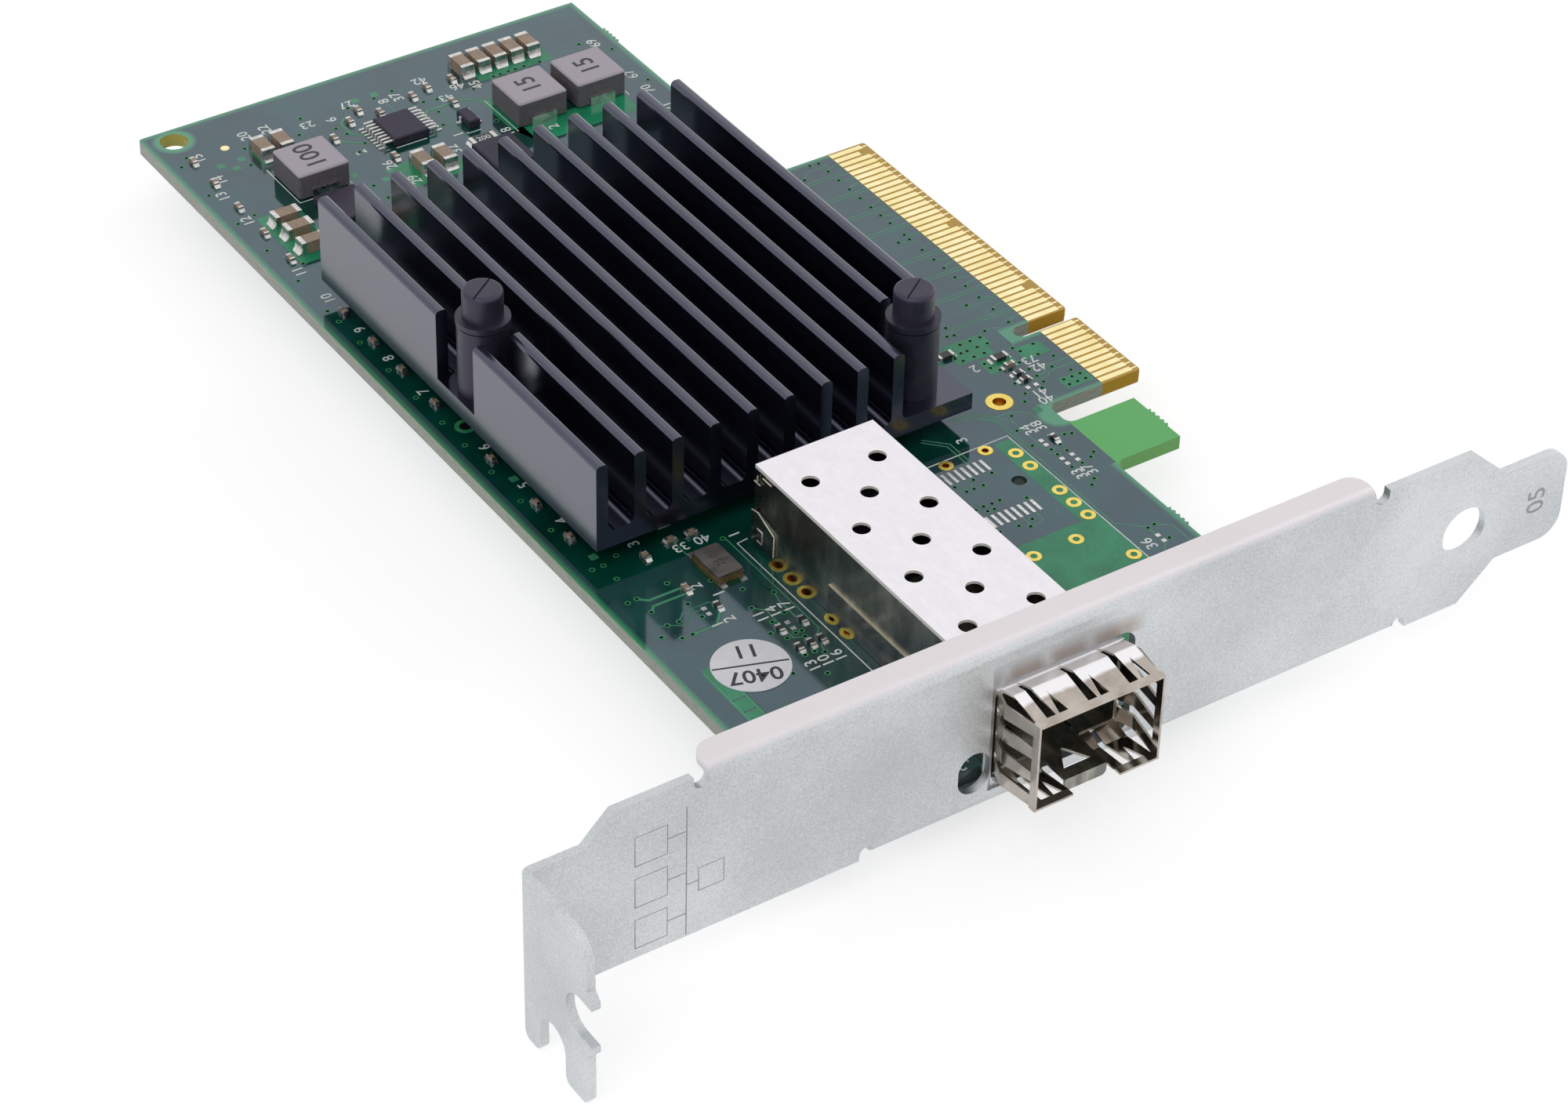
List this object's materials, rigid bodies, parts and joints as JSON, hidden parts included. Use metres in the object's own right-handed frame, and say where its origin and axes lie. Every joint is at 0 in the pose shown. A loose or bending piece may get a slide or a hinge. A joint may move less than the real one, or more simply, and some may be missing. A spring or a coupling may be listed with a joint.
{
  "type": "network interface card",
  "caption": "Low-profile network interface card with an edge connector, a transceiver cage, a black finned heatsink on sprung pins and a full-height steel bracket.",
  "frame": {"origin": "middle of the key notch on the edge connector's outer edge, half way through the board's thickness", "axes": "+X into the host's slot, +Y along the board away from the bracket, +Z to the component side"},
  "size_m": [0.12, 0.1501, 0.0238],
  "materials": {
    "solder_mask": "green solder mask, semi-gloss",
    "gold": "gold plate on copper",
    "tin": "dull tin plate",
    "bracket_steel": "satin nickel-plated steel",
    "screw_steel": "zinc-plated steel",
    "cage_nickel": "bright nickel plate",
    "black_anodised": "black anodised, satin",
    "pin_nylon": "black nylon",
    "spring_steel": "plain spring steel",
    "moulded_black": "moulded epoxy",
    "ferrite": "pressed iron powder, dark grey",
    "capacitor_ceramic": "fired ceramic, tan",
    "crystal_metal": "plated lid",
    "crystal_ceramic": "gold-edged ceramic",
    "contact_alloy": "gold-plated spring alloy",
    "substrate_laminate": "laminate",
    "lid_nickel": "nickel-plated copper",
    "pad_grey": "filled silicone",
    "sticker_paper": "white label stock",
    "light_lens": "clear epoxy"
  },
  "bodies": {
    "root": {"circuit_board": "solder_mask", "edge_contacts_top": "gold", "edge_contacts_bottom": "gold", "plated_holes": "gold", "fiducial": "gold", "solder_pads": "tin", "bulk_capacitor_terminals": "tin", "chip_capacitor_terminals": "tin", "chip_resistor_terminals": "tin", "sense_resistor_terminals": "tin", "fuse_terminals": "tin", "link_light_terminals": "tin", "regulator_leads": "tin", "transistor_leads": "tin", "inductor_terminals": "tin", "solder_balls": "tin", "power_switch_pads": "tin", "bracket": "bracket_steel", "bracket_screws": "screw_steel", "cage_shell": "cage_nickel", "cage_base": "cage_nickel", "cage_collar": "cage_nickel", "heatsink": "black_anodised", "push_pins": "pin_nylon", "push_pin_sleeves": "pin_nylon", "push_pin_springs": "spring_steel", "regulator_body": "moulded_black", "transistor_body": "moulded_black", "host_housing": "moulded_black", "chip_resistor_bodies": "moulded_black", "sense_resistor_bodies": "moulded_black", "power_switch_bodies": "moulded_black", "inductor_bodies": "ferrite", "bulk_capacitor_bodies": "capacitor_ceramic", "chip_capacitor_bodies": "capacitor_ceramic", "fuse_bodies": "capacitor_ceramic", "crystal_lid": "crystal_metal", "crystal_base": "crystal_ceramic", "host_contacts": "contact_alloy", "chip_substrate": "substrate_laminate", "chip_lid": "lid_nickel", "thermal_pad": "pad_grey", "inspection_sticker": "sticker_paper", "link_light_bodies": "light_lens"}
  },
  "joints": []
}
